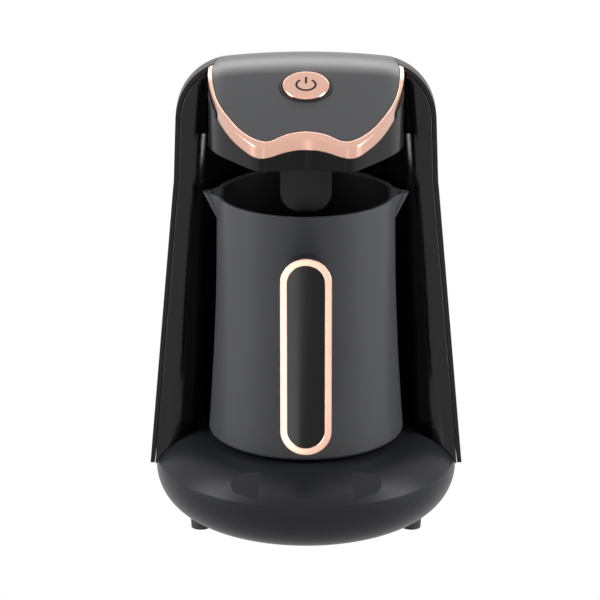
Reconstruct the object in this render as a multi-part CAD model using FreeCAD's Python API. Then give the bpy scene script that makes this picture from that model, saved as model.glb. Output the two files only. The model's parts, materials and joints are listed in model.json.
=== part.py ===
import FreeCAD, Part
import math
import os

# Electric Turkish coffee maker: a pull-out pot standing in the well of a hooded body.
# Lengths are millimetres. Shapes are drawn about the pot's axis, with the front towards -Y and
# the feet on z = 0, and are moved back onto the middle of the footprint when they are written.

V = FreeCAD.Vector

# Footprint
HANDLE_FRONT = 82.0
BODY_BACK = 98.0
CENTRE_SHIFT = (HANDLE_FRONT - BODY_BACK) / 2

# Clearances
SEAM = 0.3
RUNNING_FIT = 0.4
SCREW_FIT = 0.05
SEAT_GAP = 0.1

# Feet and base
FOOT_R = 5.5
FOOT_TAPER = 0.6
FOOT_H = 5.0
FOOT_TALL = 12.0
FOOT_X = 53.0
FOOT_FRONT_Y = -21.0
FOOT_REAR_Y = 56.0
BASE_BOTTOM_R = 57.5
SKIRT_GAP = 0.8
BASE_EQUATOR_Z = 32.0
BASE_WALL = 2.5
BASE_CORNER_X = 40.0
BASE_CORNER_Y = 56.0
DECK_Z = 44.5
DECK_R = 51.0
BASE_PLATE_T = 2.5
BASE_PLATE_GAP = 0.4
BASE_SWELL = 6.0
BASE_SWELL_Z = 16.0
SHOULDER_IN = 8.0
SHOULDER_UP = 8.2
SCREW_POST_WALL = 1.0
VENT_HALF_W = 14.0
VENT_Y = 14.0
VENT_PITCH = 4.0
VENT_SLOT = 2.0

# Finger scallops on the front shoulder: corner, slope of the shoulder there, and the cut's shape
SCALLOP_X = 24.0
SCALLOP_Z = 35.5
SCALLOP_CORNER_R = 74.3
SCALLOP_SLOPE = 36.0
SCALLOP_DEPTH = 1.8
SCALLOP_FADE = 7.5
SCALLOP_LENGTH = 40.0
SCALLOP_RISE = 26.0
SCALLOP_BEND = 19.0
SCALLOP_FAN = 10.0

# Outer shell
SHELL_WALL = 2.2
SHELL_BOTTOM_Z = 31.0
SHELL_LOW_HALF = 78.5
BASE_R = SHELL_LOW_HALF - SHELL_WALL - SKIRT_GAP
SHELL_HIGH_HALF = 66.1
SHELL_BOW_HALF = 64.9
PIVOT_Y = 25.0
PIVOT_Z = 170.0
CROWN_H = 63.0
CROWN_R = 400.0
CROWN_CORNER_R = 29.0
LOW_CORNER_R = 36.0
LID_TILT = 20.5
LIP_LOW_Y = -12.0
LIP_LEAN = 9.6

# Front frame and well
WELL_R = 55.0
FRAME_WALL = 2.4
LIP_WIDTH = 5.6
LIP_PROUD = 0.8
MOUTH_DEPTH_LOW = 26.0
MOUTH_DEPTH_HIGH = 8.0

# Head
HEAD_BOTTOM_Z = 194.5
HEAD_WALL = 2.4
HEAD_SIDE_X = 48.0
HEAD_BACK_Y = 60.0
TRIM_DEPTH = 5.4
TRIM_REAR_Y = 20.0
LID_T = 2.4
LID_GAP = 0.35
LID_REAR_Y = 50.0

# Button
BUTTON_R = 11.5
BUTTON_T = 2.6
BUTTON_PROUD = 1.2
BUTTON_TRAVEL = 1.6
BUTTON_EDGE_R = 0.7
BUTTON_SLOPE_S = 10.5
STEM_R = 3.0
STEM_L = 6.0
BEZEL_W = 1.2
BEZEL_H = 6.0
BEZEL_PROUD = 0.2
BEZEL_FLOOR_T = 1.2
BEZEL_POST_R = 1.8
SPRING_R = 5.0
SPRING_WIRE = 0.8

# Sensor tongue
TONGUE_W = 25.0
TONGUE_T = 12.0
TONGUE_CORNER_R = 10.0
TONGUE_Y = -39.5
TONGUE_BOTTOM_Z = 171.6
TONGUE_WALL = 3.0
WINDOW_R = 2.6
WINDOW_T = 1.5

# Pot
POT_BOTTOM_Z = 46.3
POT_LOW_R = 49.0
POT_WAIST_R = 44.6
POT_RIM_R = 44.0
POT_RIM_Z = 170.0
POT_WAIST_Z = 128.0
POT_CORNER_R = 1.6
POT_WALL = 1.4
LINER_T = 0.6
LINER_DROP = 1.5
POT_FLOOR_Z = 74.0
SPOUT_TIP_X = 51.0
SPOUT_DROP = 13.0
SPOUT_SPREAD = 30.0
SPOUT_NOSE_R = 4.0
SPOUT_ROOT = 4.0
RING_R = 38.0
RING_W = 5.0
BASE_COVER_T = 2.0

# Handle
HANDLE_W = 24.6
HANDLE_LOW_Z = 62.3
HANDLE_HIGH_Z = 161.2
GRIP_T = 10.0
GRIP_EDGE_R = 2.5
INSERT_SUNK = 0.4
ARM_INSET = 1.5
ARM_TALL = 14.0
ARM_DROP = 0.34
RING_BAND = 3.3
RING_T = 2.2
RING_PROUD = 0.8

# Electrical dock, at the back of the pot
DOCK_Z = 60.5
DOCK_R = 10.0
DOCK_NOSE_R = 7.7
DOCK_FLANGE_W = 4.0
DOCK_FLANGE_T = 3.0
DOCK_BODY_L = 14.0
PLUG_FRONT_Y = 36.0
PLUG_SUNK = 0.4
PIN_R = 2.0
PIN_L = 6.0
PIN_CLEAR = 2.0
PIN_PITCH = 11.0
CONTACT_R = 1.2
CONTACT_L = 12.0

# Heater and boards
HEATER_R = 34.0
HEATER_T = 3.0
ELEMENT_R = 26.0
ELEMENT_TUBE_R = 3.25
THERMOSTAT_R = 7.0
THERMOSTAT_H = 9.0
COVER_POST_R = 2.6
BOARD_T = 1.6
SCREW_R = 1.5
SCREW_HEAD_R = 2.8
SCREW_HEAD_T = 1.6
SCREW_L = 10.0

POWER_BOARD_Z = 13.0
POWER_BOARD_W = 62.0
POWER_BOARD_Y0 = -2.0
POWER_BOARD_Y1 = 58.0
BOARD_POST_R = 3.0
RELAY = (15.0, 19.0, 15.0)
TRANSFORMER = (22.0, 22.0, 18.0)
TERMINALS = (28.0, 10.0, 11.0)
SWITCH_H = 4.0
SWITCH_SIDE = 6.0
CONTROL_W = 32.0
CONTROL_L = 26.0
BUZZER_R = 6.0
BUZZER_H = 7.5

# Cord inlet
GLAND_R = 6.0
GLAND_BORE_R = 3.5
GLAND_FLANGE_R = 9.0
GLAND_L = 12.0
GLAND_Z = 60.0


def line(a, b):
    return Part.LineSegment(a, b).toShape()


def arc(a, b, c):
    return Part.Arc(a, b, c).toShape()


def cylinder(r, h, at, axis=V(0, 0, 1)):
    return Part.makeCylinder(r, h, at, axis)


def block(x0, x1, y0, y1, z0, z1):
    return Part.makeBox(x1 - x0, y1 - y0, z1 - z0, V(x0, y0, z0))


def prism(wire, vector):
    return Part.Face(wire).extrude(vector)


def ring(r_out, r_in, h, at, axis=V(0, 0, 1)):
    return cylinder(r_out, h, at, axis).cut(cylinder(r_in, h, at, axis))


def mirrored(shape):
    return shape.mirror(V(0, 0, 0), V(1, 0, 0))


def polar(r, degrees, z=0.0):
    a = math.radians(degrees)
    return V(r * math.cos(a), r * math.sin(a), z)


# Base

def base_profile(inset):
    """Half section of the base bowl: flat bottom, swelling side, domed shoulder, flat deck."""
    slant = inset * 0.7
    low = V(BASE_BOTTOM_R - inset, 0, FOOT_H + inset)
    swell = V((BASE_BOTTOM_R + BASE_R) / 2 + BASE_SWELL - inset, 0, BASE_SWELL_Z + slant)
    equator = V(BASE_R - inset, 0, BASE_EQUATOR_Z)
    shoulder = V(BASE_R - SHOULDER_IN - slant, 0, BASE_EQUATOR_Z + SHOULDER_UP - slant)
    deck = V(DECK_R, 0, DECK_Z - inset)
    return [low, swell, equator, shoulder, deck]


def base_solid(inset):
    """The bowl: turned about the pot's axis at the front, run straight back, turned at the corners."""
    profile = base_profile(inset)

    def section(at_y, from_x):
        p = [q + V(0, at_y, 0) for q in profile]
        start = V(from_x, at_y, p[0].z)
        end = V(from_x, at_y, p[4].z)
        edges = [
            line(start, p[0]),
            arc(p[0], p[1], p[2]),
            arc(p[2], p[3], p[4]),
            line(p[4], end),
            line(end, start),
        ]
        return Part.Face(Part.Wire(edges))

    front = section(0, 0).revolve(V(0, 0, 0), V(0, 0, 1), -180)
    right = section(0, 0).extrude(V(0, BASE_CORNER_Y, 0))
    left = mirrored(right)
    corner_face = section(BASE_CORNER_Y, BASE_CORNER_X)
    corner = corner_face.revolve(V(BASE_CORNER_X, BASE_CORNER_Y, 0), V(0, 0, 1), 90)
    back_face = corner_face.copy()
    back_face.rotate(V(BASE_CORNER_X, BASE_CORNER_Y, 0), V(0, 0, 1), 90)
    back = back_face.extrude(V(-2 * BASE_CORNER_X, 0, 0))
    return front.fuse([right, left, corner, mirrored(corner), back]).removeSplitter()


def scallop(wall=0.0):
    """A finger recess: a curved step on the inner side, a ledge below, a floor that fades outwards."""
    rise = SCALLOP_RISE + wall
    corner = V(-wall, -wall, 0)
    outer = V(SCALLOP_LENGTH, -wall, 0)
    far = V(SCALLOP_LENGTH, rise, 0)
    step_end = V(SCALLOP_BEND, rise, 0)
    step_mid = V(SCALLOP_BEND * 0.36 - wall * 0.7, SCALLOP_RISE * 0.62 + wall * 0.5, 0)
    edges = [line(corner, outer), line(outer, far), line(far, step_end), arc(step_end, step_mid, corner)]
    clear_of_bowl = 16.0
    cutter = Part.Face(Part.Wire(edges)).extrude(V(0, 0, clear_of_bowl + wall))
    cutter.translate(V(0, 0, -SCALLOP_DEPTH - wall))
    cutter.rotate(V(0, 0, 0), V(0, 1, 0), -SCALLOP_FADE)
    cutter.rotate(V(0, 0, 0), V(1, 0, 0), SCALLOP_SLOPE)
    turn = math.degrees(math.asin(SCALLOP_X / SCALLOP_CORNER_R))
    cutter.rotate(V(0, 0, 0), V(0, 0, 1), turn + SCALLOP_FAN)
    y = -math.sqrt(SCALLOP_CORNER_R ** 2 - SCALLOP_X ** 2)
    cutter.translate(V(SCALLOP_X, y, SCALLOP_Z))
    return cutter


def foot_places():
    return [(x, y) for y in (FOOT_FRONT_Y, FOOT_REAR_Y) for x in (-FOOT_X, FOOT_X)]


def make_base():
    outer = base_solid(0)
    inner = base_solid(BASE_WALL).cut([scallop(BASE_WALL), mirrored(scallop(BASE_WALL))])
    plate_hole = plate_outline(BASE_PLATE_GAP).extrude(V(0, 0, BASE_WALL + 1))
    plate_hole.translate(V(0, 0, FOOT_H))
    housing = outer.cut([inner, scallop(), mirrored(scallop()), plate_hole])
    post_foot = FOOT_H + BASE_PLATE_T
    post_tall = DECK_Z - BASE_WALL + 1 - post_foot
    for x, y in screw_places():
        post = cylinder(SCREW_HEAD_R + SCREW_POST_WALL, post_tall, V(x, y, post_foot))
        housing = housing.fuse(post.common(outer))
    for x, y in screw_places():
        housing = housing.cut(cylinder(SCREW_R + SCREW_FIT, SCREW_L + 1, V(x, y, FOOT_H)))
    return housing.removeSplitter()


def plate_outline(grow):
    """Flat face of the bottom plate, inside the base's flat underside."""
    rim = 4.0
    half = BASE_BOTTOM_R - rim + grow
    back = BASE_CORNER_Y + half - BASE_CORNER_X
    edges = [
        arc(V(-half, 0, 0), V(0, -half, 0), V(half, 0, 0)),
        line(V(half, 0, 0), V(half, back, 0)),
        line(V(half, back, 0), V(-half, back, 0)),
        line(V(-half, back, 0), V(-half, 0, 0)),
    ]
    return Part.Face(Part.Wire(edges))


def screw_places():
    return [(-38.0, -24.0), (38.0, -24.0), (-38.0, 52.0), (38.0, 52.0)]


def make_plate():
    plate = plate_outline(0).extrude(V(0, 0, BASE_PLATE_T))
    plate.translate(V(0, 0, FOOT_H))
    posts = [cylinder(BOARD_POST_R, POWER_BOARD_Z - FOOT_H, V(x, y, FOOT_H)) for x, y in power_posts()]
    plate = plate.fuse(posts)
    for x, y in screw_places():
        plate = plate.cut(cylinder(SCREW_R + SCREW_FIT, BASE_PLATE_T, V(x, y, FOOT_H)))
        plate = plate.cut(cylinder(SCREW_HEAD_R + SCREW_FIT, SCREW_HEAD_T, V(x, y, FOOT_H)))
    for k in range(-3, 4):
        y = VENT_Y + k * VENT_PITCH
        plate = plate.cut(block(-VENT_HALF_W, VENT_HALF_W, y, y + VENT_SLOT, FOOT_H, FOOT_H + BASE_PLATE_T))
    return plate


def make_feet():
    bowl = base_solid(0)
    feet = []
    for x, y in foot_places():
        foot = Part.makeCone(FOOT_R - FOOT_TAPER, FOOT_R, FOOT_TALL, V(x, y, 0))
        feet.append(foot.cut(bowl))
    return Part.makeCompound(feet)


def make_base_screws():
    screws = []
    for x, y in screw_places():
        head = cylinder(SCREW_HEAD_R, SCREW_HEAD_T, V(x, y, FOOT_H))
        shank = cylinder(SCREW_R, SCREW_L, V(x, y, FOOT_H))
        screws.append(head.fuse(shank).removeSplitter())
    return Part.makeCompound(screws)


# Outer envelope of the body

def bow(half, top, corner_r, crown_r):
    """Points of a bow: upright side, round corner, shallow crown."""
    cy = top - crown_r
    cx = half - corner_r
    yc = cy + math.sqrt((crown_r - corner_r) ** 2 - cx ** 2)
    a = math.atan2(yc - cy, cx)
    tangent = (crown_r * math.cos(a), cy + crown_r * math.sin(a))
    mid = (cx + corner_r * math.cos(a / 2), yc + corner_r * math.sin(a / 2))
    return [(half, yc), mid, tangent, (0.0, top)]


def bow_edges(points, place, foot_half):
    right = [place(*p) for p in [(foot_half, 0.0)] + points]
    left = [place(-p[0], p[1]) for p in [(foot_half, 0.0)] + points]
    return [
        line(right[0], right[1]),
        arc(right[1], right[2], right[3]),
        arc(right[3], right[4], left[3]),
        arc(left[3], left[2], left[1]),
        line(left[1], left[0]),
    ]


def lid_direction():
    t = math.radians(LID_TILT)
    return V(0, -math.cos(t), -math.sin(t))


def envelope(inset):
    """Body's outside: leaning walls, a sloping crowned lid plane and a rounded top rear."""
    top = bow(SHELL_BOW_HALF - inset, CROWN_H - inset, CROWN_CORNER_R - inset, CROWN_R - inset)
    foot = SHELL_HIGH_HALF - inset

    def upright(x, h):
        return V(x, PIVOT_Y, PIVOT_Z + h)

    edges = bow_edges(top, upright, foot)
    edges.append(line(upright(-foot, 0), upright(foot, 0)))
    face = Part.Face(Part.Wire(edges))
    pivot = V(0, PIVOT_Y, PIVOT_Z)
    face.rotate(pivot, V(1, 0, 0), LID_TILT)
    helmet = face.revolve(pivot, V(-1, 0, 0), 90 + LID_TILT)
    slope = face.extrude(lid_direction() * 90)
    back = BODY_BACK - PIVOT_Y - inset
    low = bow(SHELL_LOW_HALF - inset, back, LOW_CORNER_R - inset, CROWN_R - inset)
    sections = []
    for z, points, half in ((PIVOT_Z, top, foot), (SHELL_BOTTOM_Z, low, SHELL_LOW_HALF - inset)):
        def flat(x, h):
            return V(x, PIVOT_Y + h, z)

        front = -45.0
        outline = [line(V(half, front, z), V(half, PIVOT_Y, z))]
        outline += bow_edges(points, flat, half)
        outline.append(line(V(-half, PIVOT_Y, z), V(-half, front, z)))
        outline.append(line(V(-half, front, z), V(half, front, z)))
        sections.append(Part.Wire(outline))
    walls = Part.makeLoft(sections, True, True)
    return helmet.fuse([slope, walls]).removeSplitter()


def behind(forward, depth=200.0):
    """Everything behind the leaning plane of the shell's front edge."""
    slab = block(-120, 120, 0, depth, -60, 260)
    slab.rotate(V(0, 0, 0), V(1, 0, 0), -LIP_LEAN)
    slab.translate(V(0, LIP_LOW_Y - forward, SHELL_BOTTOM_Z))
    return slab


def lip_y(z, forward=0.0):
    return LIP_LOW_Y - forward + (z - SHELL_BOTTOM_Z) * math.tan(math.radians(LIP_LEAN))


def shell_half(z):
    share = (z - SHELL_BOTTOM_Z) / (PIVOT_Z - SHELL_BOTTOM_Z)
    return SHELL_LOW_HALF + (SHELL_HIGH_HALF - SHELL_LOW_HALF) * share


def make_shell(outer):
    """Outer shell: a thin wall under the body's outside, open in front, at the hood and for the cord."""
    shell = outer.cut(envelope(SHELL_WALL)).common(behind(0))
    gland_hole = gland_cylinder(GLAND_R + SEAT_GAP, GLAND_L + 3, GLAND_L + 8)
    return shell.cut(hood_opening() + [gland_hole]).removeSplitter()


# Well and front frame

def well_plan(z, grow, mouth_depth):
    """Plan of the pot's well: round at the back, flaring out to the lips at the front."""
    r = WELL_R + grow
    lip_x = shell_half(z) - SHELL_WALL - SEAM - LIP_WIDTH
    front = lip_y(z, LIP_PROUD)
    start = V(lip_x, front + grow, z)
    meet_y = front + mouth_depth
    meet_x = math.sqrt(max(r ** 2 - max(meet_y, 0.0) ** 2, 1.0))
    meet = V(meet_x, max(meet_y, 0.0), z)
    bulge = V(meet_x + (lip_x - meet_x) * 0.25, start.y + (meet.y - start.y) * 0.30, z)
    outer = 130.0
    far = -120.0

    def flip(p):
        return V(-p.x, p.y, p.z)

    edges = [
        line(V(outer, far, z), V(outer, start.y, z)),
        line(V(outer, start.y, z), start),
        arc(start, bulge, meet),
        arc(meet, V(0, r, z), flip(meet)),
        arc(flip(meet), flip(bulge), flip(start)),
        line(flip(start), V(-outer, start.y, z)),
        line(V(-outer, start.y, z), V(-outer, far, z)),
        line(V(-outer, far, z), V(outer, far, z)),
    ]
    return Part.Wire(edges)


def well(grow, low_z, high_z):
    low = well_plan(low_z, grow, MOUTH_DEPTH_LOW)
    high = well_plan(high_z, grow, MOUTH_DEPTH_HIGH)
    return Part.makeLoft([low, high], True, True)


def make_frame(inner_envelope):
    """Front frame: the glossy lips, the concave cheeks and the wall behind the pot."""
    body = inner_envelope.common(behind(LIP_PROUD))
    low_z = DECK_Z - 40.0
    top_z = 240.0
    lip_depth = 9.0
    hollow = well(0, low_z, top_z)
    lips = body.cut(behind(LIP_PROUD - lip_depth))
    skin = body.cut(hollow).common(well(FRAME_WALL, low_z, top_z))
    frame = skin.fuse(lips.cut(hollow))
    frame = frame.cut(base_solid(-SEAM))
    frame = frame.cut(cylinder(DOCK_NOSE_R + SEAT_GAP, 20, V(0, WELL_R - 8, DOCK_Z), V(0, 1, 0)))
    frame = frame.cut(head_outline(SEAM, HEAD_BOTTOM_Z - SEAM, 60))
    frame = frame.cut(hood_opening())
    return frame.removeSplitter()


# Head

def smooth_outline(half_points, z, back=None):
    """Symmetric spline outline from its right half, listed from the rear to the front centre."""
    right = [V(x, y, z) for x, y in half_points]
    left = [V(-p.x, p.y, p.z) for p in reversed(right[:-1])]
    curve = Part.BSplineCurve()
    if back is None:
        curve.interpolate(Points=right + left[:-1], PeriodicFlag=True)
        return Part.Wire([curve.toShape()])
    curve.interpolate(right + left)
    first, last = right[0], left[-1]
    rear_right, rear_left = V(first.x, back, z), V(last.x, back, z)
    edges = [curve.toShape(), line(last, rear_left), line(rear_left, rear_right), line(rear_right, first)]
    return Part.Wire(edges)


def head_wire(grow, z):
    """Cat-eared plan of the head block: two rounded points with a shallow hollow between them."""
    g = grow
    half = [(HEAD_SIDE_X + g, 0.0), (42.6 + g, -20.0 - g * 0.3), (33.7 + g * 0.8, -34.5 - g * 0.6),
            (26.6 + g * 0.6, -45.0 - g * 0.8), (21.0, -50.0 - g), (15.8, -49.6 - g), (11.0, -47.8 - g),
            (0.0, -45.0 - g)]
    return smooth_outline(half, z, HEAD_BACK_Y)


def trim_wire(grow, z):
    """Plan of the trim's outside, which overhangs the head block at the front."""
    g = grow
    half = [(48.3 + g, 10.0), (45.9 + g, -7.5), (42.8 + g * 0.9, -19.4 - g * 0.3),
            (38.7 + g * 0.9, -30.5 - g * 0.4), (33.6 + g * 0.8, -40.0 - g * 0.6),
            (28.1 + g * 0.7, -47.6 - g * 0.7), (23.9 + g * 0.4, -51.6 - g * 0.9), (20.0, -52.6 - g),
            (15.8, -51.4 - g), (11.0, -49.1 - g), (5.7, -47.5 - g), (0.0, -47.0 - g)]
    return smooth_outline(half, z, HEAD_BACK_Y)


def lid_wire(grow, z):
    """Plan of the lid: inside the trim at the front, with a rounded rear end under the hood."""
    g = grow
    half = [(25.0 + g * 0.4, 46.5 + g * 0.9), (37.5 + g * 0.7, 40.0 + g * 0.7), (44.3 + g, 28.0 + g * 0.3),
            (45.9 + g, 9.0), (45.0 + g, -2.0), (41.0 + g * 0.9, -19.0 - g * 0.3),
            (37.0 + g * 0.9, -28.0 - g * 0.4), (32.0 + g * 0.8, -37.1 - g * 0.6),
            (27.5 + g * 0.7, -42.9 - g * 0.7), (22.5 + g * 0.4, -47.0 - g * 0.9), (18.5, -48.2 - g),
            (14.5, -46.6 - g), (10.0, -43.7 - g), (5.0, -42.0 - g), (0.0, -41.3 - g)]
    return smooth_outline([(0.0, LID_REAR_Y + g)] + half, z)


def outline_prism(wire_of, grow, low_z, height):
    return prism(wire_of(grow, low_z), V(0, 0, height))


def head_outline(grow, low_z, height):
    return outline_prism(head_wire, grow, low_z, height)


def lid_plane_point(s, depth=0.0):
    """Point on the lid's centre line: s down the slope from the crest, depth below the surface."""
    t = math.radians(LID_TILT)
    crest = V(0, PIVOT_Y - CROWN_H * math.sin(t), PIVOT_Z + CROWN_H * math.cos(t))
    return crest + lid_direction() * s + lid_normal() * (-depth)


def lid_normal():
    t = math.radians(LID_TILT)
    return V(0, -math.sin(t), math.cos(t))


def before(y):
    return block(-120, 120, -120, y, 150, 260)


def make_head_parts():
    """Head block, rose-gold trim and lid, cut from their own outlines and the crowned surface."""
    low = HEAD_BOTTOM_Z
    tall = 50.0
    crown = envelope(0)
    crown_trim = envelope(TRIM_DEPTH)
    crown_lid = envelope(LID_T)
    crown_head = envelope(LID_T + LID_GAP)
    lid_ledge = 3.0
    blank = head_outline(0, low, tall).common(before(LID_REAR_Y))
    over_trim = outline_prism(trim_wire, SEAM, low, tall).common(before(TRIM_REAR_Y + SEAM))
    over_trim = over_trim.cut(outline_prism(lid_wire, -lid_ledge, low, tall))
    head = blank.common(crown_head).cut(over_trim.cut(envelope(TRIM_DEPTH + SEAT_GAP)))
    head = head.cut(head_outline(-HEAD_WALL, low + HEAD_WALL, tall))
    trim = outline_prism(trim_wire, 0, low, tall).common(crown).common(before(TRIM_REAR_Y))
    trim = trim.cut(crown_trim).cut(outline_prism(lid_wire, LID_GAP, low, tall))
    lid = outline_prism(lid_wire, 0, low, tall).common(crown).cut(crown_lid)
    return head.removeSplitter(), trim.removeSplitter(), lid.removeSplitter()


def hood_opening():
    """What the shell and frame leave open for the lid, the trim and the head block."""
    low = HEAD_BOTTOM_Z
    lid_room = outline_prism(lid_wire, LID_GAP, PIVOT_Z + 20, 60)
    trim_room = outline_prism(trim_wire, SEAM, low + 6.0, 60).common(before(TRIM_REAR_Y + SEAM))
    return [lid_room, trim_room]


def button_frame(depth):
    return lid_plane_point(BUTTON_SLOPE_S, depth)


def make_button_parts(lid):
    """Lid bored for the button, with the bezel's cup, the cap on its stem and the return spring."""
    n = lid_normal()
    bore = BUTTON_R + RUNNING_FIT + BEZEL_W
    lid = lid.cut(cylinder(bore, 20, button_frame(10), n))
    cup_floor = BEZEL_H - BEZEL_PROUD
    cap_under = BUTTON_T - BUTTON_PROUD
    bezel = ring(bore - SEAM / 2, BUTTON_R + RUNNING_FIT, BEZEL_H, button_frame(cup_floor), n)
    floor_at = button_frame(cup_floor + BEZEL_FLOOR_T)
    floor = ring(bore - SEAM / 2, STEM_R + RUNNING_FIT, BEZEL_FLOOR_T, floor_at, n)
    bezel = bezel.fuse(floor).removeSplitter()
    cap = cylinder(BUTTON_R, BUTTON_T, button_frame(cap_under), n)
    rim = [e for e in cap.Edges if abs((e.CenterOfMass - button_frame(-BUTTON_PROUD)).Length) < 0.1]
    cap = cap.makeFillet(BUTTON_EDGE_R, rim)
    stem = cylinder(STEM_R, STEM_L, button_frame(cap_under + STEM_L), n)
    cap = cap.fuse(stem).removeSplitter()
    spring = ring(SPRING_R, SPRING_R - SPRING_WIRE, cup_floor - cap_under, button_frame(cup_floor), n)
    return lid, bezel, cap, spring


# Pot

def pot_profile(inset, low_z, high_z):
    """Half section of the pot wall: a rounded foot, a gentle taper to the waist, upright to the rim."""
    share = (low_z - POT_BOTTOM_Z) / (POT_WAIST_Z - POT_BOTTOM_Z)
    low_r = POT_LOW_R - inset - (POT_LOW_R - POT_WAIST_R) * share * 1.3
    mid_z = (low_z + POT_WAIST_Z) / 2
    mid_r = (low_r + POT_WAIST_R - inset) / 2 - 0.5
    foot = V(low_r - POT_CORNER_R, 0, low_z)
    corner = V(low_r - POT_CORNER_R * 0.29, 0, low_z + POT_CORNER_R * 0.29)
    side = V(low_r, 0, low_z + POT_CORNER_R)
    mid = V(mid_r, 0, mid_z)
    waist = V(POT_WAIST_R - inset, 0, POT_WAIST_Z)
    rim = V(POT_RIM_R - inset, 0, high_z)
    edges = [line(V(0, 0, low_z), foot), arc(foot, corner, side), arc(side, mid, waist), line(waist, rim)]
    edges += [line(rim, V(0, 0, high_z)), line(V(0, 0, high_z), V(0, 0, low_z))]
    return Part.Face(Part.Wire(edges)).revolve(V(0, 0, 0), V(0, 0, 1), 360)


def spout(inset):
    """One pouring lip: a fold that opens upwards from the wall to a rounded nose at the rim."""
    def outline(tip, spread, nose, z):
        start = polar(POT_RIM_R - SPOUT_ROOT - inset, spread, z)
        a = V(tip - nose * 0.9, nose * 0.8, z)
        b = V(tip, 0, z)
        c = V(a.x, -a.y, z)
        end = V(start.x, -start.y, z)
        return Part.Wire([line(start, a), arc(a, b, c), line(c, end), line(end, start)])

    high = POT_RIM_Z + (1.0 if inset else 0.0)
    fold_tip = POT_RIM_R + 0.6 - inset
    low = outline(fold_tip, SPOUT_SPREAD * 0.2, SPOUT_NOSE_R * 0.5, POT_RIM_Z - SPOUT_DROP)
    top = outline(SPOUT_TIP_X - inset, SPOUT_SPREAD, SPOUT_NOSE_R - inset * 0.3, high)
    return Part.makeLoft([low, top], True, True)


def make_pot():
    """Pot with its two spouts, open below its floor for the heater, and the lining inside it."""
    outer = pot_profile(0, POT_BOTTOM_Z, POT_RIM_Z).fuse([spout(0), mirrored(spout(0))])
    cavity = pot_profile(POT_WALL, POT_FLOOR_Z, POT_RIM_Z + 1)
    cavity = cavity.fuse([spout(POT_WALL), mirrored(spout(POT_WALL))])
    lower = pot_profile(POT_WALL, POT_BOTTOM_Z - 5, POT_WAIST_Z)
    lower = lower.common(block(-60, 60, -60, 60, POT_BOTTOM_Z - 1, POT_FLOOR_Z - POT_WALL - LINER_T))
    dock_hole = cylinder(DOCK_R + SEAM, 30, V(0, 30, DOCK_Z), V(0, 1, 0))
    shell = outer.cut([cavity, lower]).cut(dock_hole)
    liner_out = pot_profile(POT_WALL, POT_FLOOR_Z, POT_RIM_Z - LINER_DROP)
    liner_in = pot_profile(POT_WALL + LINER_T, POT_FLOOR_Z + LINER_T, POT_RIM_Z + 1)
    liner = liner_out.cut([liner_in, spout(-SEAT_GAP), mirrored(spout(-SEAT_GAP))])
    return shell.removeSplitter(), liner.removeSplitter()


def capsule(half, low_z, high_z, y, depth):
    """Upright capsule in the X-Z plane, drawn at y and run towards +Y."""
    top = high_z - half
    bottom = low_z + half
    edges = [
        line(V(-half, y, bottom), V(-half, y, top)),
        arc(V(-half, y, top), V(0, y, high_z), V(half, y, top)),
        line(V(half, y, top), V(half, y, bottom)),
        arc(V(half, y, bottom), V(0, y, low_z), V(-half, y, bottom)),
    ]
    return prism(Part.Wire(edges), V(0, depth, 0))


def arm_face(way, tip_z, y):
    """Section of a handle arm: round on its outer side, flat towards the fingers."""
    r = HANDLE_W / 2 - ARM_INSET
    centre_z = tip_z - way * r
    flat_z = tip_z - way * ARM_TALL
    edges = [
        arc(V(-r, y, centre_z), V(0, y, tip_z), V(r, y, centre_z)),
        line(V(r, y, centre_z), V(r, y, flat_z)),
        line(V(r, y, flat_z), V(-r, y, flat_z)),
        line(V(-r, y, flat_z), V(-r, y, centre_z)),
    ]
    return Part.Face(Part.Wire(edges))


def make_handle():
    """Handle seen head-on as a capsule: a grip plate, a falling upper arm and a level lower arm."""
    half = HANDLE_W / 2
    face_y = -HANDLE_FRONT + RING_PROUD
    reach = 40.0
    body = capsule(half, HANDLE_LOW_Z, HANDLE_HIGH_Z, face_y, GRIP_T)
    outer_edges = [e for e in body.Edges if abs(e.CenterOfMass.y - face_y - GRIP_T) < 0.1]
    body = body.makeFillet(GRIP_EDGE_R, outer_edges)
    start_y = face_y + GRIP_T / 2
    upper = arm_face(1, HANDLE_HIGH_Z - ARM_INSET, start_y).extrude(V(0, reach, -reach * ARM_DROP))
    lower = arm_face(-1, HANDLE_LOW_Z + ARM_INSET, start_y).extrude(V(0, reach, 0))
    arms = upper.fuse(lower).cut(pot_profile(-SEAM, POT_BOTTOM_Z - 2, POT_RIM_Z))
    arms = arms.common(block(-60, 60, -120, -30, 0, 200))
    body = body.fuse([s for s in arms.Solids if s.BoundBox.YMin < face_y + GRIP_T])
    ring_y = -HANDLE_FRONT
    band_low, band_high = HANDLE_LOW_Z + RING_BAND, HANDLE_HIGH_Z - RING_BAND
    body = body.cut(capsule(half - RING_BAND, band_low, band_high, face_y, RING_T))
    trim = capsule(half, HANDLE_LOW_Z, HANDLE_HIGH_Z, ring_y, RING_PROUD)
    trim = trim.cut(capsule(half - RING_BAND, band_low, band_high, ring_y, RING_PROUD))
    inset = RING_BAND + SEAT_GAP
    insert_t = RING_PROUD - INSERT_SUNK + RING_T
    low_z, high_z = HANDLE_LOW_Z + inset, HANDLE_HIGH_Z - inset
    insert = capsule(half - inset, low_z, high_z, ring_y + INSERT_SUNK, insert_t)
    return body.removeSplitter(), trim, insert


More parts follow.
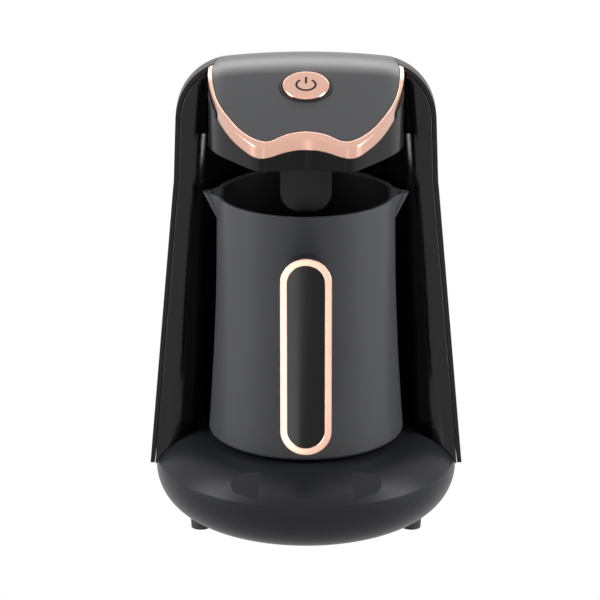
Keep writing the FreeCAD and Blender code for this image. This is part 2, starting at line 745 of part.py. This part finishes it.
def make_pot_inside():
    """Parts under the pot's floor: heater, its tube, the thermostat, the plug and the bottom cover."""
    parts = {}
    plate_z = POT_FLOOR_Z - POT_WALL - LINER_T - HEATER_T
    parts["heater_plate"] = cylinder(HEATER_R, HEATER_T, V(0, 0, plate_z))
    tube_z = plate_z - ELEMENT_TUBE_R
    turn = 150
    circle = Part.Wire([Part.makeCircle(ELEMENT_TUBE_R, V(ELEMENT_R, 0, tube_z), V(0, 1, 0))])
    element = Part.Face(circle).revolve(V(0, 0, 0), V(0, 0, 1), 2 * turn)
    element.rotate(V(0, 0, 0), V(0, 0, 1), 90 + (180 - turn))
    parts["heater_element"] = element
    parts["thermostat"] = cylinder(THERMOSTAT_R, THERMOSTAT_H, V(0, 0, plate_z - THERMOSTAT_H))
    cover_r = POT_LOW_R - POT_WALL - POT_CORNER_R
    cover = cylinder(cover_r - SEAM, BASE_COVER_T, V(0, 0, POT_BOTTOM_Z))
    post_at = ELEMENT_R + ELEMENT_TUBE_R + COVER_POST_R + SEAM
    for a in (45, 135, 225, 315):
        post = cylinder(COVER_POST_R, plate_z - POT_BOTTOM_Z, polar(post_at, a, POT_BOTTOM_Z))
        cover = cover.fuse(post)
    parts["pot_base_cover"] = cover.removeSplitter()
    plug = cylinder(DOCK_R, POT_LOW_R - PLUG_FRONT_Y, V(0, PLUG_FRONT_Y, DOCK_Z), V(0, 1, 0))
    plug = plug.common(cylinder(POT_LOW_R - PLUG_SUNK, 60, V(0, 0, 20)))
    pin_y = PLUG_FRONT_Y + PIN_L
    parts["pot_plug"] = plug.cut(contact_pair(PIN_R + PIN_CLEAR, pin_y, PIN_L + PIN_CLEAR))
    parts["pot_plug_pins"] = Part.makeCompound(contact_pair(PIN_R, pin_y, PIN_L))
    return parts


def contact_pair(r, from_y, length):
    return [cylinder(r, length, V(s * PIN_PITCH / 2, from_y, DOCK_Z), V(0, 1, 0)) for s in (-1, 1)]


def make_dock():
    """Socket through the wall behind the pot, with two sprung contacts that reach the pot's pins."""
    y_axis = V(0, 1, 0)
    back_y = WELL_R + FRAME_WALL
    nose_y = POT_LOW_R + 3.0
    seat = V(0, back_y + 2 * SEAT_GAP, DOCK_Z)
    socket = cylinder(DOCK_R + DOCK_FLANGE_W, DOCK_FLANGE_T, seat, y_axis)
    socket = socket.fuse(cylinder(DOCK_R - 1, DOCK_BODY_L, seat, y_axis))
    socket = socket.fuse(cylinder(DOCK_NOSE_R, back_y + 1 - nose_y, V(0, nose_y, DOCK_Z), y_axis))
    contacts = contact_pair(CONTACT_R, POT_LOW_R - 0.6, CONTACT_L)
    socket = socket.cut(contacts).removeSplitter()
    return {"dock_socket": socket, "dock_contacts": Part.makeCompound(contacts)}


def make_tongue():
    """Sensor tongue under the head, with its window in the underside and its board in a pocket."""
    half = TONGUE_W / 2
    low = TONGUE_BOTTOM_Z
    r = TONGUE_CORNER_R
    bend = r * (1 - math.sqrt(0.5))
    y = TONGUE_Y
    edges = [
        line(V(-half, y, HEAD_BOTTOM_Z), V(-half, y, low + r)),
        arc(V(-half, y, low + r), V(-half + bend, y, low + bend), V(-half + r, y, low)),
        line(V(-half + r, y, low), V(half - r, y, low)),
        arc(V(half - r, y, low), V(half - bend, y, low + bend), V(half, y, low + r)),
        line(V(half, y, low + r), V(half, y, HEAD_BOTTOM_Z)),
        line(V(half, y, HEAD_BOTTOM_Z), V(-half, y, HEAD_BOTTOM_Z)),
    ]
    tongue = prism(Part.Wire(edges), V(0, TONGUE_T, 0))
    middle = y + TONGUE_T / 2
    pocket_half = half - 4.0
    pocket_z = low + 6.0
    front, back = y + TONGUE_WALL, y + TONGUE_T - TONGUE_WALL
    tongue = tongue.cut(block(-pocket_half, pocket_half, front, back, pocket_z, HEAD_BOTTOM_Z))
    tongue = tongue.cut(cylinder(WINDOW_R, WINDOW_T, V(0, middle, low)))
    tongue = tongue.cut(cylinder(WINDOW_R - 1, pocket_z - low, V(0, middle, low)))
    window = cylinder(WINDOW_R, WINDOW_T - SEAM, V(0, middle, low + SEAM))
    board_half = pocket_half - SEAM
    board = block(-board_half, board_half, front + SEAM, back - SEAM, pocket_z, pocket_z + BOARD_T)
    return tongue, window, board


def make_control():
    """Board under the button: it hangs from two posts of the bezel, parallel to the lid."""
    n = lid_normal()
    stem_end = BUTTON_T - BUTTON_PROUD + STEM_L
    switch_top = stem_end + BUTTON_TRAVEL + SEAT_GAP
    board_top = switch_top + SWITCH_H

    def tilted_box(width, length, depth, thick):
        shape = Part.makeBox(width, length, thick, V(-width / 2, -length / 2, 0))
        shape.rotate(V(0, 0, 0), V(1, 0, 0), LID_TILT)
        shape.translate(button_frame(depth + thick))
        return shape

    switch = tilted_box(SWITCH_SIDE, SWITCH_SIDE, switch_top, SWITCH_H)
    board = tilted_box(CONTROL_W, CONTROL_L, board_top, BOARD_T)
    buzzer = cylinder(BUZZER_R, BUZZER_H, button_frame(board_top + BOARD_T + BUZZER_H), n)
    post_x = BUTTON_R + RUNNING_FIT - 0.6
    post_l = board_top - BEZEL_H - 0.4
    post_feet = [button_frame(board_top) + V(side * post_x, 0, 0) for side in (-1, 1)]
    posts = [cylinder(BEZEL_POST_R, post_l, at, n) for at in post_feet]
    return board, switch, buzzer, posts


def power_posts():
    edge = 5.0
    half = POWER_BOARD_W / 2 - edge
    return [(x, y) for x in (-half, half) for y in (POWER_BOARD_Y0 + edge, POWER_BOARD_Y1 - edge)]


def make_power():
    """Mains board on the bottom plate's posts, with its relay, transformer and terminal block."""
    parts = {}
    half = POWER_BOARD_W / 2
    top = POWER_BOARD_Z + BOARD_T
    parts["power_board"] = block(-half, half, POWER_BOARD_Y0, POWER_BOARD_Y1, POWER_BOARD_Z, top)
    front_row = POWER_BOARD_Y0 + 6.0
    rear_row = POWER_BOARD_Y1 - 14.0
    parts["relay"] = on_board(RELAY, -24.0, front_row, top)
    parts["transformer"] = on_board(TRANSFORMER, 4.0, front_row, top)
    parts["terminal_block"] = on_board(TERMINALS, -TERMINALS[0] / 2, rear_row, top)
    return parts


def on_board(size, x, y, z):
    return block(x, x + size[0], y, y + size[1], z, z + size[2])


def make_gland(outer):
    """Cord inlet low on the back: a flanged bush through the shell, seated on its sloping wall."""
    flange = gland_cylinder(GLAND_FLANGE_R, GLAND_L / 2, GLAND_L / 2).cut(outer)
    bush = flange.fuse(gland_cylinder(GLAND_R, GLAND_L, GLAND_L))
    return bush.cut(gland_cylinder(GLAND_BORE_R, GLAND_L + 4, GLAND_L + 8)).removeSplitter()


def gland_cylinder(r, depth, length):
    return cylinder(r, length, V(0, BODY_BACK - depth, GLAND_Z), V(0, 1, 0))


def make_rest_ring():
    return ring(RING_R, RING_R - RING_W, POT_BOTTOM_Z - DECK_Z, V(0, 0, DECK_Z))


def write(parts):
    os.makedirs("parts", exist_ok=True)
    for name, shape in parts.items():
        shape = shape.copy()
        shape.translate(V(0, CENTRE_SHIFT, 0))
        shape.exportStep("parts/" + name + ".step")
        print(name, len(shape.Solids), shape.isValid(), round(shape.Volume))


def main():
    parts = {}
    parts["base_housing"] = make_base()
    parts["base_plate"] = make_plate()
    parts["feet"] = make_feet()
    parts["base_screws"] = make_base_screws()
    parts["pot_rest_ring"] = make_rest_ring()
    outer = envelope(0)
    parts["rear_shell"] = make_shell(outer)
    parts["cord_gland"] = make_gland(outer)
    parts["front_frame"] = make_frame(envelope(SHELL_WALL + SEAM))
    head, trim, lid = make_head_parts()
    lid, bezel, cap, spring = make_button_parts(lid)
    board, switch, buzzer, posts = make_control()
    bezel = bezel.fuse(posts).removeSplitter()
    parts["control_board"] = board
    parts["tact_switch"] = switch
    parts["buzzer"] = buzzer
    tongue, window, sensor_board = make_tongue()
    parts["sensor_housing"] = tongue
    parts["sensor_window"] = window
    parts["sensor_board"] = sensor_board
    parts.update(make_power())
    parts["head_front"] = head
    parts["top_trim"] = trim
    parts["top_lid"] = lid
    parts["button_bezel"] = bezel
    parts["power_button"] = cap
    parts["button_spring"] = spring
    shell_pot, liner = make_pot()
    parts["pot_shell"] = shell_pot
    parts["pot_liner"] = liner
    handle, handle_trim, insert = make_handle()
    parts["handle_body"] = handle
    parts["handle_trim"] = handle_trim
    parts["handle_insert"] = insert
    parts.update(make_pot_inside())
    parts.update(make_dock())
    write(parts)


main()
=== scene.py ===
import json
import math

import bpy
from mathutils import Matrix, Vector


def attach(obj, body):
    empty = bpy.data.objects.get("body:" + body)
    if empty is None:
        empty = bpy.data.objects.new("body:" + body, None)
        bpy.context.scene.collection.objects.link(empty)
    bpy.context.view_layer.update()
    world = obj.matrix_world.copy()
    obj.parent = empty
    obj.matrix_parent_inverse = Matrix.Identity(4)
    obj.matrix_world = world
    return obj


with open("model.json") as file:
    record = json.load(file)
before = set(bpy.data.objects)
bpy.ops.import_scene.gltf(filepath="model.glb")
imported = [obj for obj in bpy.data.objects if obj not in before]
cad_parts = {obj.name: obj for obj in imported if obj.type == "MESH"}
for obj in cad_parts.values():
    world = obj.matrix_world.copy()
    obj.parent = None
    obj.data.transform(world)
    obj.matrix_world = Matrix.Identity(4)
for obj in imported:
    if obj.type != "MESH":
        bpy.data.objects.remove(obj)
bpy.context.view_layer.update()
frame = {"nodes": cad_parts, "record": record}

# Camera, seen from the front and a little above with a long lens
CAMERA_DISTANCE = 1.600
CAMERA_RISE = math.radians(18.5)
AIM_HEIGHT = 0.115
PICTURE_SIDE = 600
PIXELS_PER_METRE = 2000.0
AIM_PIXEL = (306.0, 297.0)
SENSOR = 36.0

# The pot's axis and the lid's slope, as the solids have them
POT_Y = -0.008
LID_TILT = math.radians(20.5)

# Power symbol on the button: a ring that is open at the top, and an upright bar in the gap
SYMBOL_R = 0.0047
SYMBOL_STROKE = 0.0011
SYMBOL_GAP = math.radians(38)
SYMBOL_BAR = 0.0052
SYMBOL_BAR_FOOT = SYMBOL_R * 0.25
SYMBOL_PROUD = 0.00012
SYMBOL_STEPS = 64
RING_TURN = 2 * math.pi - 2 * SYMBOL_GAP
FLAT_TOP_SLACK = 1e-5

# Surface effects shared by all finishes
FINE_DETAIL = 3.0
BROAD_DETAIL = 2.0
BROAD_SCALE = 35.0
TONE_DETAIL = 1.0
NOISE_MIDDLE = 0.5
GRAIN_DEPTH = 0.00005
EDGE_SAMPLES = 4

# Studio
FLOOR_SIDE = 6.0
FLOOR_COLOR = (0.92, 0.92, 0.92, 1.0)
FLOOR_ROUGHNESS = 0.6
WORLD_COLOR = (0.5, 0.5, 0.52, 1.0)
WORLD_STRENGTH = 0.35
WHITE = (1.0, 1.0, 1.0, 1.0)
WHITE_STRENGTH = 1.0
MIDDLE = (0.0, 0.0, 0.12)
LOW_STRIP_X, LOW_STRIP_Y = -0.029, -0.44

# Soft lamps: name, place, point that it faces, width, height, watts. The low strip lies by the floor
# and gives the sheen on the handle's insert
LAMPS = (
    ("left_strip", (-1.14, -0.30, 0.35), MIDDLE, 0.45, 1.0, 15.0),
    ("right_strip", (1.14, -0.30, 0.35), MIDDLE, 0.45, 1.0, 15.0),
    ("left_top", (-0.8, -0.1, 0.95), MIDDLE, 0.3, 0.6, 5.0),
    ("right_top", (0.8, -0.1, 0.95), MIDDLE, 0.3, 0.6, 5.0),
    ("top_rear", (0.0, 1.05, 0.90), MIDDLE, 1.3, 0.4, 7.0),
    ("low_strip", (LOW_STRIP_X, LOW_STRIP_Y, 0.004), (LOW_STRIP_X, LOW_STRIP_Y, 1.0), 0.05, 0.40, 0.25),
    ("top_front", (0.0, -0.5, 1.4), MIDDLE, 1.0, 0.5, 1.5),
)


def deselect():
    bpy.ops.object.select_all(action="DESELECT")


deselect()


# Materials

def new_material(name):
    material = bpy.data.materials.new(name)
    material.use_nodes = True
    nodes = material.node_tree.nodes
    shader = nodes["Principled BSDF"]
    return material, material.node_tree, shader


def group_socket(group, name, way, kind, value=None):
    socket = group.interface.new_socket(name=name, in_out=way, socket_type=kind)
    if value is not None:
        socket.default_value = value
    return socket


def make_fine_grain():
    """Moulded grain: a fine height, and a broad, slight change of roughness."""
    group = bpy.data.node_groups.new("fine_grain", "ShaderNodeTree")
    group_socket(group, "Scale", "INPUT", "NodeSocketFloat", 2500.0)
    group_socket(group, "Base Roughness", "INPUT", "NodeSocketFloat", 0.4)
    group_socket(group, "Roughness Change", "INPUT", "NodeSocketFloat", 0.05)
    group_socket(group, "Height", "OUTPUT", "NodeSocketFloat")
    group_socket(group, "Roughness", "OUTPUT", "NodeSocketFloat")
    nodes, links = group.nodes, group.links
    inputs = nodes.new("NodeGroupInput")
    outputs = nodes.new("NodeGroupOutput")
    place = nodes.new("ShaderNodeTexCoord")
    fine = nodes.new("ShaderNodeTexNoise")
    fine.inputs["Detail"].default_value = FINE_DETAIL
    links.new(place.outputs["Object"], fine.inputs["Vector"])
    links.new(inputs.outputs["Scale"], fine.inputs["Scale"])
    broad = nodes.new("ShaderNodeTexNoise")
    broad.inputs["Scale"].default_value = BROAD_SCALE
    broad.inputs["Detail"].default_value = BROAD_DETAIL
    links.new(place.outputs["Object"], broad.inputs["Vector"])
    centred = nodes.new("ShaderNodeMath")
    centred.operation = "SUBTRACT"
    centred.inputs[1].default_value = NOISE_MIDDLE
    links.new(broad.outputs["Fac"], centred.inputs[0])
    change = nodes.new("ShaderNodeMath")
    change.operation = "MULTIPLY_ADD"
    links.new(centred.outputs[0], change.inputs[0])
    links.new(inputs.outputs["Roughness Change"], change.inputs[1])
    links.new(inputs.outputs["Base Roughness"], change.inputs[2])
    links.new(fine.outputs["Fac"], outputs.inputs["Height"])
    links.new(change.outputs[0], outputs.inputs["Roughness"])
    return group


def make_tone_drift():
    """Slow drift of a colour about its own value, as a coat or a moulding shows."""
    group = bpy.data.node_groups.new("tone_drift", "ShaderNodeTree")
    group_socket(group, "Color", "INPUT", "NodeSocketColor", (0.1, 0.1, 0.1, 1.0))
    group_socket(group, "Amount", "INPUT", "NodeSocketFloat", 0.08)
    group_socket(group, "Scale", "INPUT", "NodeSocketFloat", 18.0)
    group_socket(group, "Color", "OUTPUT", "NodeSocketColor")
    nodes, links = group.nodes, group.links
    inputs = nodes.new("NodeGroupInput")
    outputs = nodes.new("NodeGroupOutput")
    place = nodes.new("ShaderNodeTexCoord")
    noise = nodes.new("ShaderNodeTexNoise")
    noise.inputs["Detail"].default_value = TONE_DETAIL
    links.new(place.outputs["Object"], noise.inputs["Vector"])
    links.new(inputs.outputs["Scale"], noise.inputs["Scale"])
    centred = nodes.new("ShaderNodeMath")
    centred.operation = "SUBTRACT"
    centred.inputs[1].default_value = NOISE_MIDDLE
    links.new(noise.outputs["Fac"], centred.inputs[0])
    strength = nodes.new("ShaderNodeMath")
    strength.operation = "MULTIPLY_ADD"
    strength.inputs[2].default_value = 1.0
    links.new(centred.outputs[0], strength.inputs[0])
    links.new(inputs.outputs["Amount"], strength.inputs[1])
    tint = nodes.new("ShaderNodeVectorMath")
    tint.operation = "SCALE"
    links.new(inputs.outputs["Color"], tint.inputs[0])
    links.new(strength.outputs[0], tint.inputs["Scale"])
    links.new(tint.outputs[0], outputs.inputs["Color"])
    return group


fine_grain = make_fine_grain()
tone_drift = make_tone_drift()


def finish_material(name, color, rough, rough_change, grain_scale, bump,
                    metallic=0.0, edge=0.0005, level=0.5):
    """A finish with softened edges, a moulded grain and a slight drift of roughness and tone."""
    material, tree, shader = new_material(name)
    nodes, links = tree.nodes, tree.links
    grain = nodes.new("ShaderNodeGroup")
    grain.node_tree = fine_grain
    grain.inputs["Scale"].default_value = grain_scale
    grain.inputs["Base Roughness"].default_value = rough
    grain.inputs["Roughness Change"].default_value = rough_change
    tone = nodes.new("ShaderNodeGroup")
    tone.node_tree = tone_drift
    tone.inputs["Color"].default_value = (*color, 1.0)
    bump_node = nodes.new("ShaderNodeBump")
    bump_node.inputs["Strength"].default_value = bump
    bump_node.inputs["Distance"].default_value = GRAIN_DEPTH
    soft_edge = nodes.new("ShaderNodeBevel")
    soft_edge.samples = EDGE_SAMPLES
    soft_edge.inputs["Radius"].default_value = edge
    links.new(soft_edge.outputs["Normal"], bump_node.inputs["Normal"])
    links.new(grain.outputs["Height"], bump_node.inputs["Height"])
    links.new(bump_node.outputs["Normal"], shader.inputs["Normal"])
    links.new(grain.outputs["Roughness"], shader.inputs["Roughness"])
    links.new(tone.outputs["Color"], shader.inputs["Base Color"])
    shader.inputs["Metallic"].default_value = metallic
    shader.inputs["Specular IOR Level"].default_value = level
    return material


# Finishes by slot: name, colour, roughness, its change over the surface, grain scale and grain strength.
# After these come the softened edge's radius in metres and the level of mirror reflection
MATERIALS = {
    "black_satin": finish_material(
        "satin_black_plastic", (0.012, 0.0124, 0.0145), 0.36, 0.06, 2600, 0.25, level=0.16),
    # Darker, less reflective copy of the black: on the tongue in the recess under the head it is painted
    # shade
    "black_deep_and_shade": finish_material(
        "deep_black_plastic_and_painted_shade", (0.004, 0.004, 0.0045), 0.22, 0.04, 1500, 0.05, edge=0.0008, level=0.14),
    "black_gloss": finish_material(
        "gloss_black_plastic", (0.003, 0.003, 0.0033), 0.14, 0.04, 900, 0.03, edge=0.0008, level=0.3),
    "insert_gloss": finish_material(
        "insert_gloss_black", (0.003, 0.003, 0.0033), 0.07, 0.02, 900, 0.0, edge=0.0004, level=0.2),
    "black_matte": finish_material(
        "matt_black_plastic", (0.006, 0.006, 0.0063), 0.5, 0.06, 2600, 0.3, level=0.25),
    "grey_satin": finish_material(
        "satin_grey_plastic", (0.012, 0.0125, 0.0145), 0.32, 0.05, 2600, 0.25, level=0.42),
    "pot_enamel": finish_material(
        "satin_pot_coat", (0.042, 0.0427, 0.046), 0.36, 0.05, 2200, 0.25, level=0.16),
    "nonstick": finish_material(
        "nonstick_lining", (0.006, 0.006, 0.006), 0.45, 0.08, 1800, 0.3, level=0.25),
    "rose_gold": finish_material(
        "rose_gold_plate", (0.71, 0.43, 0.33), 0.20, 0.05, 1500, 0.06, metallic=1.0, edge=0.0008),
    "rubber_feet": finish_material(
        "black_rubber", (0.015, 0.015, 0.015), 0.65, 0.06, 1800, 0.35),
    "steel": finish_material(
        "bright_steel", (0.55, 0.55, 0.55), 0.30, 0.06, 1500, 0.1, metallic=1.0),
    "window_smoke": finish_material(
        "smoked_window", (0.02, 0.008, 0.008), 0.10, 0.02, 900, 0.02),
    "circuit_board": finish_material(
        "green_board", (0.02, 0.12, 0.05), 0.35, 0.06, 1200, 0.15),
    "nylon": finish_material(
        "natural_nylon", (0.65, 0.63, 0.58), 0.45, 0.05, 1600, 0.2),
    "brass_contact": finish_material(
        "plated_brass", (0.75, 0.58, 0.28), 0.25, 0.05, 1500, 0.08, metallic=1.0),
    "aluminium_plate": finish_material(
        "plain_aluminium", (0.75, 0.75, 0.76), 0.35, 0.06, 1500, 0.1, metallic=1.0),
    "symbol_print": finish_material(
        "symbol_print", (0.006, 0.004, 0.004), 0.5, 0.04, 1500, 0.1, edge=0.00002, level=0.1),
}

# The head block and the tongue take a darker, less reflective black than their neighbours, and the
# handle's insert is shinier. On the tongue, which hangs in the recess under the head, this darker black is
# painted shade
OWN_FINISH = {"head_front": "black_deep_and_shade", "sensor_housing": "black_deep_and_shade", "handle_insert": "insert_gloss"}


def dress_nodes():
    """Every solid takes the finish of its material slot, but for the few with a finish of their own."""
    for part in frame["record"]["subparts"]:
        node = frame["nodes"][part["node"]]
        finish = OWN_FINISH.get(part["node"], part["material_slot"])
        node.data.materials.clear()
        node.data.materials.append(MATERIALS[finish])


dress_nodes()


# Power symbol on the button

def button_top():
    """Centre of the button's flat top and the lid's normal there."""
    normal = Vector((0.0, -math.sin(LID_TILT), math.cos(LID_TILT)))
    points = [v.co for v in frame["nodes"]["power_button"].data.vertices]
    top = max(p.dot(normal) for p in points)
    flat = [p for p in points if top - p.dot(normal) < FLAT_TOP_SLACK]
    centre = sum(flat, Vector()) / len(flat)
    return Vector((0.0, centre.y, centre.z)), normal


def add_strip(place, along, across, length, width):
    """A flat rectangle in its place, its two sides turned along and across, opened for editing."""
    deselect()
    turn = Matrix((along, across, along.cross(across))).transposed()
    bpy.ops.mesh.primitive_plane_add(size=1.0, location=place, rotation=turn.to_euler())
    strip = bpy.context.object
    strip.scale = (length, width, 1.0)
    bpy.ops.object.transform_apply(location=True, rotation=True, scale=True)
    bpy.ops.object.mode_set(mode="EDIT")
    bpy.ops.mesh.select_all(action="SELECT")
    return strip


def close_strip():
    """Turns the faces outwards and leaves editing."""
    bpy.ops.mesh.select_all(action="SELECT")
    bpy.ops.mesh.normals_make_consistent(inside=False)
    bpy.ops.object.mode_set(mode="OBJECT")


def make_power_symbol():
    """The standard stand-by sign, standing a hair proud of the button."""
    centre, normal = button_top()
    right = Vector((1.0, 0.0, 0.0))
    up = normal.cross(right)

    start = up * math.cos(SYMBOL_GAP) - right * math.sin(SYMBOL_GAP)
    ring = add_strip(centre + start * SYMBOL_R + normal * SYMBOL_PROUD / 2, start, normal,
                     SYMBOL_STROKE, SYMBOL_PROUD)
    bpy.ops.mesh.spin(steps=SYMBOL_STEPS, angle=-RING_TURN, center=centre, axis=normal)
    close_strip()

    bar = add_strip(centre + up * (SYMBOL_BAR_FOOT + SYMBOL_BAR / 2), right, up, SYMBOL_STROKE, SYMBOL_BAR)
    bpy.ops.mesh.extrude_region_move(TRANSFORM_OT_translate={"value": normal * SYMBOL_PROUD})
    close_strip()

    deselect()
    bar.select_set(True)
    ring.select_set(True)
    bpy.context.view_layer.objects.active = ring
    bpy.ops.object.join()
    ring.name = "power_symbol"
    ring.data.name = "power_symbol"
    ring.data.materials.append(MATERIALS["symbol_print"])
    deselect()
    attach(ring, "button")


make_power_symbol()


# Stage

def seen_white(nodes, links, mix, lit, white):
    """Feeds mix: white to the camera, to reflections and through glass, and the lit surface elsewhere."""
    path = nodes.new("ShaderNodeLightPath")
    first = nodes.new("ShaderNodeMath")
    first.operation = "MAXIMUM"
    links.new(path.outputs["Is Camera Ray"], first.inputs[0])
    links.new(path.outputs["Is Glossy Ray"], first.inputs[1])
    both = nodes.new("ShaderNodeMath")
    both.operation = "MAXIMUM"
    links.new(first.outputs[0], both.inputs[0])
    links.new(path.outputs["Is Transmission Ray"], both.inputs[1])
    links.new(both.outputs[0], mix.inputs["Fac"])
    links.new(lit, mix.inputs[1])
    links.new(white, mix.inputs[2])


def make_floor():
    bpy.ops.mesh.primitive_plane_add(size=FLOOR_SIDE, location=(0.0, 0.0, 0.0))
    floor = bpy.context.object
    floor.name = "studio_floor"
    deselect()
    material, tree, shader = new_material("pale_floor")
    nodes, links = tree.nodes, tree.links
    shader.inputs["Base Color"].default_value = FLOOR_COLOR
    shader.inputs["Roughness"].default_value = FLOOR_ROUGHNESS
    light = nodes.new("ShaderNodeEmission")
    light.inputs["Color"].default_value = WHITE
    light.inputs["Strength"].default_value = WHITE_STRENGTH
    mix = nodes.new("ShaderNodeMixShader")
    seen_white(nodes, links, mix, shader.outputs["BSDF"], light.outputs["Emission"])
    links.new(mix.outputs["Shader"], nodes["Material Output"].inputs["Surface"])
    floor.data.materials.append(material)


def make_world():
    world = bpy.data.worlds.new("studio")
    bpy.context.scene.world = world
    world.use_nodes = True
    nodes, links = world.node_tree.nodes, world.node_tree.links
    background = nodes["Background"]
    background.inputs["Color"].default_value = WORLD_COLOR
    background.inputs["Strength"].default_value = WORLD_STRENGTH
    white = nodes.new("ShaderNodeBackground")
    white.inputs["Color"].default_value = WHITE
    white.inputs["Strength"].default_value = WHITE_STRENGTH
    mix = nodes.new("ShaderNodeMixShader")
    seen_white(nodes, links, mix, background.outputs["Background"], white.outputs["Background"])
    links.new(mix.outputs["Shader"], nodes["World Output"].inputs["Surface"])


def make_softbox(name, place, target, width, height, watts):
    data = bpy.data.lights.new(name, "AREA")
    data.shape = "RECTANGLE"
    data.size = width
    data.size_y = height
    data.energy = watts
    lamp = bpy.data.objects.new(name, data)
    bpy.context.scene.collection.objects.link(lamp)
    lamp.location = place
    direction = Vector(target) - Vector(place)
    lamp.rotation_euler = direction.to_track_quat("-Z", "Y").to_euler()


def make_lights():
    for lamp in LAMPS:
        make_softbox(*lamp)


def make_camera():
    data = bpy.data.cameras.new("view")
    camera = bpy.data.objects.new("view", data)
    bpy.context.scene.collection.objects.link(camera)
    focal_pixels = PIXELS_PER_METRE * CAMERA_DISTANCE
    data.sensor_width = SENSOR
    data.lens = SENSOR * focal_pixels / PICTURE_SIDE
    data.shift_x = (PICTURE_SIDE / 2 - AIM_PIXEL[0]) / PICTURE_SIDE
    data.shift_y = (AIM_PIXEL[1] - PICTURE_SIDE / 2) / PICTURE_SIDE
    data.dof.use_dof = False
    aim = Vector((0.0, POT_Y, AIM_HEIGHT))
    back = Vector((0.0, -math.cos(CAMERA_RISE), math.sin(CAMERA_RISE)))
    camera.location = aim + back * CAMERA_DISTANCE
    camera.rotation_euler = (-back).to_track_quat("-Z", "Y").to_euler()
    bpy.context.scene.camera = camera


make_floor()
make_world()
make_lights()
make_camera()
bpy.context.scene.view_settings.view_transform = "Standard"
